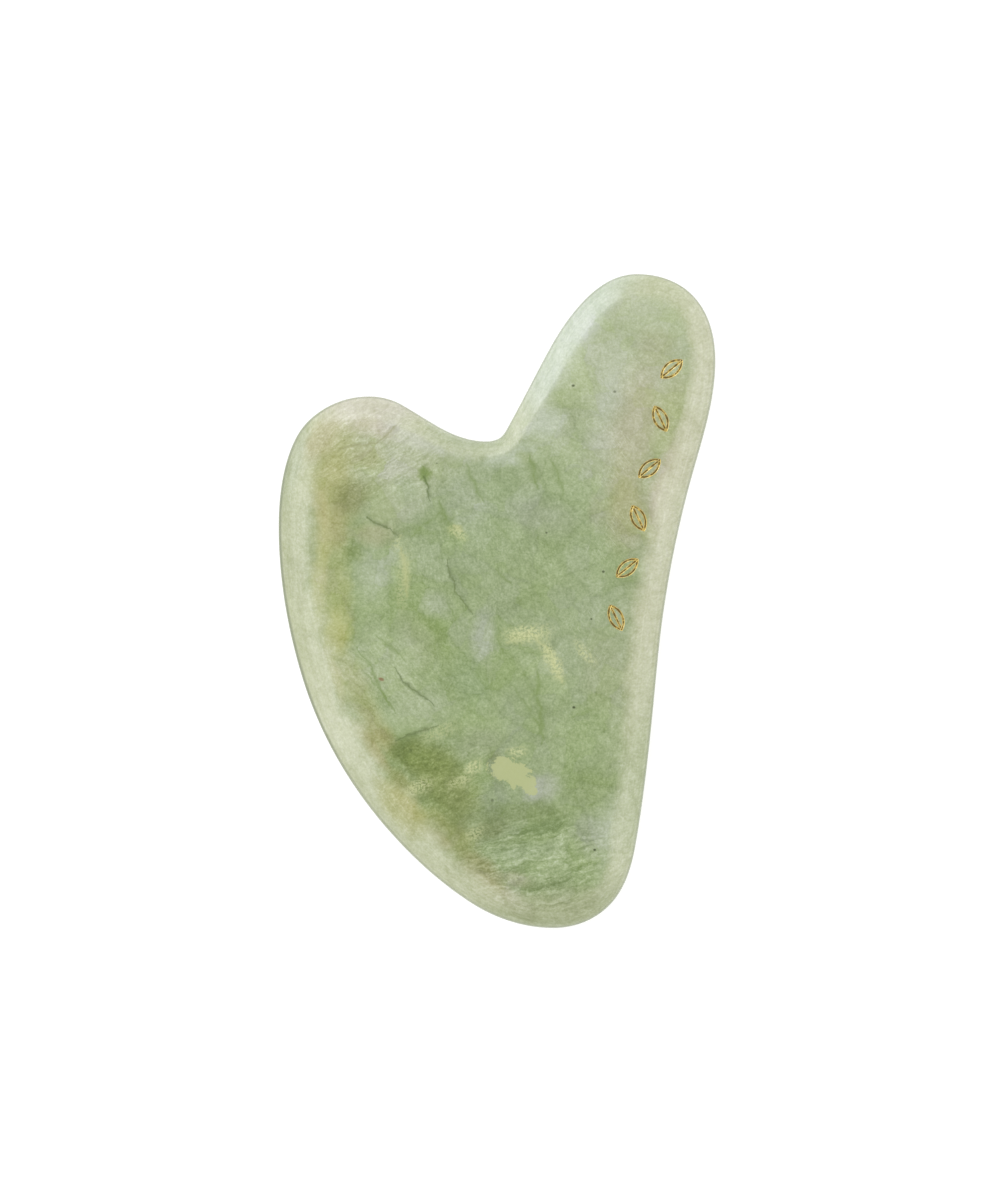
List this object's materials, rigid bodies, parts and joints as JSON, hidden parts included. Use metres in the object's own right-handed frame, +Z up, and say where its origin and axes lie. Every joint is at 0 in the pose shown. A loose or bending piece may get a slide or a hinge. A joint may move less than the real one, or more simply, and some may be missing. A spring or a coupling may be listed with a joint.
{
  "type": "gua sha scraper",
  "caption": "Heart-shaped gua sha massage scraper: a flat polished jade plate with a long finger lobe, a short lobe, a notch and small gilded leaf marks.",
  "frame": {"origin": "on the underside the plate lies on, below the middle of its length and width", "axes": "+Z up out of the face with the marks, +Y towards the end of the long finger lobe, +X towards the waist side"},
  "size_m": [0.0654, 0.098, 0.006],
  "materials": {
    "jade": "polished stone, cloudy pale green with cream patches, slightly translucent",
    "gilding": "gold paint filling an engraved line"
  },
  "bodies": {
    "root": {"jade_plate": "jade", "gilded_leaf_1": "gilding", "gilded_leaf_2": "gilding", "gilded_leaf_3": "gilding", "gilded_leaf_4": "gilding", "gilded_leaf_5": "gilding", "gilded_leaf_6": "gilding"}
  },
  "joints": []
}
